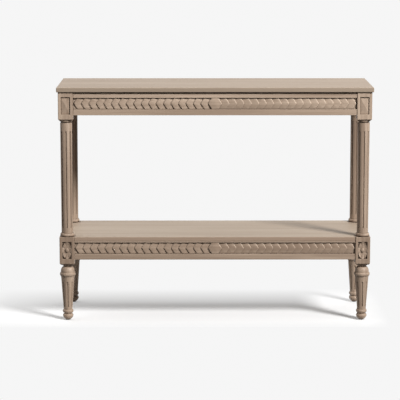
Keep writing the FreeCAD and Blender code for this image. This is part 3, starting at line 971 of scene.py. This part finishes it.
# low and high are (radius, height) at the ends of a flute
def cutFlutes(turned, low, high, width, depth, count):
    ballRadius = (width ** 2 / 4 + depth ** 2) / (2 * depth)
    inwards = ballRadius - depth
    lowEnd = Vector((low[0] + inwards, 0, low[1] + ballRadius))
    highEnd = Vector((high[0] + inwards, 0, high[1] - ballRadius))
    deselectAll()
    bpy.ops.mesh.primitive_uv_sphere_add(
        segments=latheWork["gougeSegments"],
        ring_count=latheWork["gougeRings"],
        radius=ballRadius,
        location=lowEnd,
    )
    gouge = bpy.context.object
    bakePlace(gouge)
    pickFaces(gouge, lambda centre, normal: centre.z > lowEnd.z)
    bpy.ops.mesh.extrude_region_move(TRANSFORM_OT_translate={"value": highEnd - lowEnd})
    bpy.ops.mesh.select_all(action="SELECT")
    last = 2 * math.pi * (count - 1) / count
    bpy.ops.mesh.spin(steps=count - 1, angle=last, dupli=True, center=(0, 0, 0), axis=(0, 0, 1))
    bpy.ops.object.mode_set(mode="OBJECT")
    cutAway(turned, gouge)
    cleanCuts(turned)
    smoothPiece(turned, latheWork["smoothing"])


def placeTurned(model, nodeStart, pieceStart, finish):
    for corner in corners:
        blockLow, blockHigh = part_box("upper_block_" + corner)
        middle = (blockLow + blockHigh) / 2
        piece = copyTo(model, f"{pieceStart}_{corner}", (middle.x, middle.y, 0))
        fitPiece(piece, finish, f"{nodeStart}_{corner}")
    bpy.data.objects.remove(model)


columnWork = {
    "seatRadius": 24,
    "baseBulge": 3,
    "baseHeight": 13,
    "footRadius": 22,
    "headRadius": 23,
    "headRound": 1.5,
    "headRoundMiddle": 0.3,  # share of the round that is gone halfway along it
    "neckRadius": 20.5,
    "neckHeight": 4.5,
    "capSeat": 23,
    "capBulge": 2,
    "capHeight": 5,
    "flutes": 8,
    "fluteWidth": 7,
    "fluteDepth": 3.2,
    "fluteFootMargin": 33,
    "fluteHeadMargin": 41.5,
    # dark wax and painted shade in the flutes and round the cap
    "waxShare": 0.9,
    "shadeWaxReach": 6,
    "grainShift": 9.7,
}


def makeColumns():
    work = {key: value * mm for key, value in columnWork.items()}
    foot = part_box("lower_block_front_left")[1].z
    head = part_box("upper_block_front_left")[0].z
    capLow = head - work["capHeight"]
    neckLow = capLow - work["neckHeight"]
    baseHigh = foot + work["baseHeight"]
    gone = work["headRound"] * columnWork["headRoundMiddle"]
    profile = bead(work["seatRadius"], work["seatRadius"], foot, baseHigh, work["baseBulge"])
    profile += [
        (work["footRadius"], baseHigh),
        (work["headRadius"], neckLow - work["headRound"]),
        (work["headRadius"] - gone, neckLow - gone),
        (work["headRadius"] - work["headRound"], neckLow),
        (work["neckRadius"], neckLow),
        (work["neckRadius"], capLow),
    ]
    profile += bead(work["capSeat"], work["capSeat"], capLow, head, work["capBulge"], latheWork["capSteps"])
    column = turnOnLathe("column", profile)
    fluteLow = foot + work["fluteFootMargin"]
    fluteHigh = head - work["fluteHeadMargin"]
    gain = (work["headRadius"] - work["footRadius"]) / (neckLow - work["headRound"] - baseHigh)
    lowEnd = (work["footRadius"] + gain * (fluteLow - baseHigh), fluteLow)
    highEnd = (work["footRadius"] + gain * (fluteHigh - baseHigh), fluteHigh)
    cutFlutes(column, lowEnd, highEnd, work["fluteWidth"], work["fluteDepth"], columnWork["flutes"])
    shadeWaxing = {"waxShare": columnWork["waxShare"], "reach": work["shadeWaxReach"]}
    finish = oakFinish("columnOak", "Z", columnWork["grainShift"], **shadeWaxing, **shadedLowerLook)
    placeTurned(column, "column", "flutedColumn", finish)
    print("columns ready")


legWork = {
    "capSeat": 18.5,
    "capBulge": 2,
    "capHeight": 6,
    "neckRadius": 16,
    "neckHeight": 4,
    "domeRadius": 27,
    "domeHeight": 19.5,
    "collarHeight": 3,
    "ringBulge": 3.5,
    "ringHeight": 14,
    "shoulderRadius": 26,
    "ankleRadius": 17.2,
    "ankletBulge": 4.1,
    "ankletHeight": 14,
    "coveRadius": 16.2,
    "coveHeight": 3,
    "ballRadius": 20.6,
    "ballHeight": 22,
    "widestShare": 0.59,
    "bowlSwell": 0.15,
    "tipRadius": 11,
    "flutes": 8,
    "fluteWidth": 7.5,
    "fluteDepth": 3.4,
    "fluteFootMargin": 10,
    "fluteHeadMargin": 18,
    # dark wax and painted shade in the flutes and round the cap
    "waxShare": 0.5,
    "shadeWaxReach": 6,
    "grainShift": 11.2,
}


def flare(lowRadius, highRadius, lowHeight, highHeight, swell, steps=7):  # widens upwards on a swelling curve
    points = []
    for step in range(steps + 1):
        share = step / steps
        swollen = share + 4 * swell * share * (1 - share)
        radius = lowRadius + (highRadius - lowRadius) * swollen
        points.append((radius, lowHeight + (highHeight - lowHeight) * share))
    return points


# draws in upwards to a smaller radius
def quarterRound(lowRadius, highRadius, lowHeight, highHeight, steps=8):
    points = []
    for step in range(steps + 1):
        angle = quarterTurn * step / steps
        radius = highRadius + (lowRadius - highRadius) * math.cos(angle)
        points.append((radius, lowHeight + (highHeight - lowHeight) * math.sin(angle)))
    return points


def makeLegs():
    work = {key: value * mm for key, value in legWork.items()}
    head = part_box("lower_block_front_left")[0].z
    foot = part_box("leg_front_left")[0].z
    capLow = head - work["capHeight"]
    neckLow = capLow - work["neckHeight"]
    domeLow = neckLow - work["domeHeight"]
    ringHigh = domeLow - work["collarHeight"]
    ringLow = ringHigh - work["ringHeight"]
    shoulder = ringLow - work["collarHeight"]
    widest = foot + work["ballHeight"] * legWork["widestShare"]
    ballHigh = foot + work["ballHeight"]
    coveHigh = ballHigh + work["coveHeight"]
    ankle = coveHigh + work["ankletHeight"]
    profile = flare(work["tipRadius"], work["ballRadius"], foot, widest, legWork["bowlSwell"])
    profile += quarterRound(work["ballRadius"], work["coveRadius"], widest, ballHigh)[1:]
    profile += bead(work["coveRadius"], work["ankleRadius"], coveHigh, ankle, work["ankletBulge"])
    profile += [(work["shoulderRadius"], shoulder), (work["domeRadius"], shoulder)]
    profile += bead(work["domeRadius"], work["domeRadius"], ringLow, ringHigh, work["ringBulge"])
    profile += quarterRound(work["domeRadius"], work["neckRadius"], domeLow, neckLow)
    profile += [(work["neckRadius"], capLow)]
    profile += bead(work["capSeat"], work["capSeat"], capLow, head, work["capBulge"], latheWork["capSteps"])
    leg = turnOnLathe("leg", profile)
    fluteLow = ankle + work["fluteFootMargin"]
    fluteHigh = shoulder - work["fluteHeadMargin"]
    gain = (work["shoulderRadius"] - work["ankleRadius"]) / (shoulder - ankle)
    lowEnd = (work["ankleRadius"] + gain * (fluteLow - ankle), fluteLow)
    highEnd = (work["ankleRadius"] + gain * (fluteHigh - ankle), fluteHigh)
    cutFlutes(leg, lowEnd, highEnd, work["fluteWidth"], work["fluteDepth"], legWork["flutes"])
    shadeWaxing = {"waxShare": legWork["waxShare"], "reach": work["shadeWaxReach"]}
    finish = oakFinish("legOak", "Z", legWork["grainShift"], **shadeWaxing, **shadedLowerLook)
    placeTurned(leg, "leg", "turnedLeg", finish)
    print("legs ready")


makeTop()
makeShelf()
makeAprons()
makeFriezes()
makeBlocks()
makeRosettes()
makeColumns()
makeLegs()


# hidden framing keeps its solids and gets its own finishes

innerShift = 14.5
innerLook = {"dark": (0.30, 0.20, 0.12, 1), "pale": (0.52, 0.38, 0.24, 1)}
glideLook = {
    "deep": (0.035, 0.028, 0.022, 1),
    "worn": (0.11, 0.095, 0.08, 1),
    "metal": 0,
    "roughness": (0.4, 0.6),
    "specks": 900,  # to the metre
}
screwLook = {
    "deep": (0.32, 0.31, 0.29, 1),
    "worn": (0.62, 0.62, 0.60, 1),
    "metal": 1,
    "roughness": (0.28, 0.45),
    "specks": 1400,
}
speckWork = {
    "drawnOut": 3,  # times as long upwards
    "detail": 3,
    "colourEdges": (0.35, 0.65),
    "roughEdges": (0.3, 0.7),
    "bump": 0.1,
    "bumpHeight": 0.2 * mm,
}


def speckledFinish(name, look):
    work = speckWork
    finish, tree, shader = newFinish(name)
    shader.inputs["Metallic"].default_value = look["metal"]
    place = addNode(tree, "ShaderNodeTexCoord")
    stretch = (look["specks"], look["specks"], look["specks"] / work["drawnOut"])
    specks = stretchedNoise(tree, place.outputs["Object"], stretch, work["detail"])
    share = spread(tree, specks, *work["colourEdges"])
    tree.links.new(blendColours(tree, share, look["deep"], look["worn"]), shader.inputs["Base Color"])
    roughness = spread(tree, specks, *work["roughEdges"], *look["roughness"])
    tree.links.new(roughness, shader.inputs["Roughness"])
    addBump(tree, shader, specks, work["bump"], work["bumpHeight"])
    return finish


def finishHidden():
    inner = oakFinish("innerWood", "X", innerShift, **innerLook)
    glide = speckledFinish("glidePlastic", glideLook)
    steel = speckledFinish("screwSteel", screwLook)
    finishes = {"cleat": inner, "rail": inner, "glides": glide, "screws": steel}
    for name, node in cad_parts.items():
        for word, finish in finishes.items():
            if word in name:
                for slot in node.material_slots:
                    slot.material = finish
    print("hidden framing finished")


finishHidden()


# floor, light and camera

floorLook = {
    "size": 160,
    "white": 0.92,
    "shadowDepth": 0.8,  # how far the paint darkens in full shadow
    "litLevel": 1.2,  # light on open floor
    "bounce": 0.06,
    "nearBounce": 0.6,  # more round the feet
    # metres from the table's middle, from the whole shadow to none of it
    "fadeBack": (0.06, 0.42),
    "fadeFront": (-0.19, -0.32),
    "fadeLeft": (-0.6, -1.1),
    "fadeRight": (0.58, 0.68),
}


def layFloor():
    deselectAll()
    bpy.ops.mesh.primitive_plane_add(size=floorLook["size"], location=(0, 0, cadLow.z))
    floor = bpy.context.object
    floor.name = "paleFloor"
    bakePlace(floor)
    finish, tree, shader = newFinish("palePaint")
    shader.inputs["Roughness"].default_value = 1
    shader.inputs["Specular IOR Level"].default_value = 0
    shader.inputs["Emission Color"].default_value = (1, 1, 1, 1)
    seen = seenRays(tree)
    place = addNode(tree, "ShaderNodeTexCoord")
    parts = addNode(tree, "ShaderNodeSeparateXYZ")
    tree.links.new(place.outputs["Object"], parts.inputs[0])
    depth = floorLook["shadowDepth"]
    for axis, fade in (("Y", "fadeBack"), ("Y", "fadeFront"), ("X", "fadeLeft"), ("X", "fadeRight")):
        depth = sums(tree, "MULTIPLY", spread(tree, parts.outputs[axis], *floorLook[fade], 1, 0), depth)
    paint = sums(tree, "DIVIDE", depth, floorLook["litLevel"])
    bounce = sums(tree, "ADD", sums(tree, "MULTIPLY", depth, floorLook["nearBounce"]), floorLook["bounce"])
    tree.links.new(blendColours(tree, seen, bounce, paint), shader.inputs["Base Color"])
    glow = sums(tree, "MULTIPLY", seen, sums(tree, "SUBTRACT", floorLook["white"], depth))
    tree.links.new(glow, shader.inputs["Emission Strength"])
    floor.data.materials.append(finish)


def seenRays(tree):  # 1 for what the camera sees, straight or mirrored
    rays = addNode(tree, "ShaderNodeLightPath").outputs
    mirrored = sums(tree, "ADD", rays["Is Glossy Ray"], rays["Is Transmission Ray"])
    seen = addNode(tree, "ShaderNodeMath", operation="ADD", use_clamp=True)
    tree.links.new(rays["Is Camera Ray"], seen.inputs[0])
    tree.links.new(mirrored, seen.inputs[1])
    return seen.outputs[0]


skyLook = {
    "bright": (1.2, 1.2, 1.2, 1),  # towards the back, above and a little left
    "dim": (0.045, 0.033, 0.023, 1),
    "leftwards": 42,
    "upwards": 32,
    "turnsAt": (0.1, 0.6),
    "backdrop": (0.92, 0.92, 0.922, 1),
}


def hangSky():
    world = bpy.data.worlds.new("studioSky")
    world.use_nodes = True
    scene.world = world
    tree = world.node_tree
    background = tree.nodes["Background"]
    place = addNode(tree, "ShaderNodeTexCoord")
    turn = math.radians(skyLook["leftwards"])
    rise = math.radians(skyLook["upwards"])
    brightest = (-math.sin(turn) * math.cos(rise), math.cos(turn) * math.cos(rise), math.sin(rise))
    towards = alongAxis(tree, place.outputs["Generated"], brightest)
    share = spread(tree, towards, *skyLook["turnsAt"])
    sky = blendColours(tree, share, skyLook["dim"], skyLook["bright"])
    tree.links.new(blendColours(tree, seenRays(tree), sky, skyLook["backdrop"]), background.inputs["Color"])


keyLook = {"watts": 2250, "width": 3, "away": 12, "fromRight": 44, "height": 37}


def hangKey():
    deselectAll()
    bpy.ops.object.light_add(type="AREA")
    key = bpy.context.object
    key.name = "keyLight"
    key.data.shape = "DISK"
    key.data.size = keyLook["width"]
    key.data.energy = keyLook["watts"]
    key.visible_camera = False
    key.rotation_euler = (math.radians(90 - keyLook["height"]), 0, math.radians(keyLook["fromRight"]))
    towards = key.rotation_euler.to_matrix() @ Vector((0, 0, 1))
    key.location = (cadLow + cadHigh) / 2 + towards * keyLook["away"]


cameraLook = {
    "place": (-0.07717, -7.32101, 1.60005),
    "lookDown": 0.1562,
    "yaw": -0.0027,
    "lens": 167.83,
    "sensor": 36,
    "farEnd": 500,
}


def setCamera():
    deselectAll()
    bpy.ops.object.camera_add(location=cameraLook["place"])
    camera = bpy.context.object
    camera.rotation_euler = (quarterTurn - cameraLook["lookDown"], 0, cameraLook["yaw"])
    camera.data.lens = cameraLook["lens"]
    camera.data.sensor_width = cameraLook["sensor"]
    camera.data.clip_end = cameraLook["farEnd"]
    scene.camera = camera


layFloor()
hangSky()
hangKey()
setCamera()
print("floor, light and camera ready")
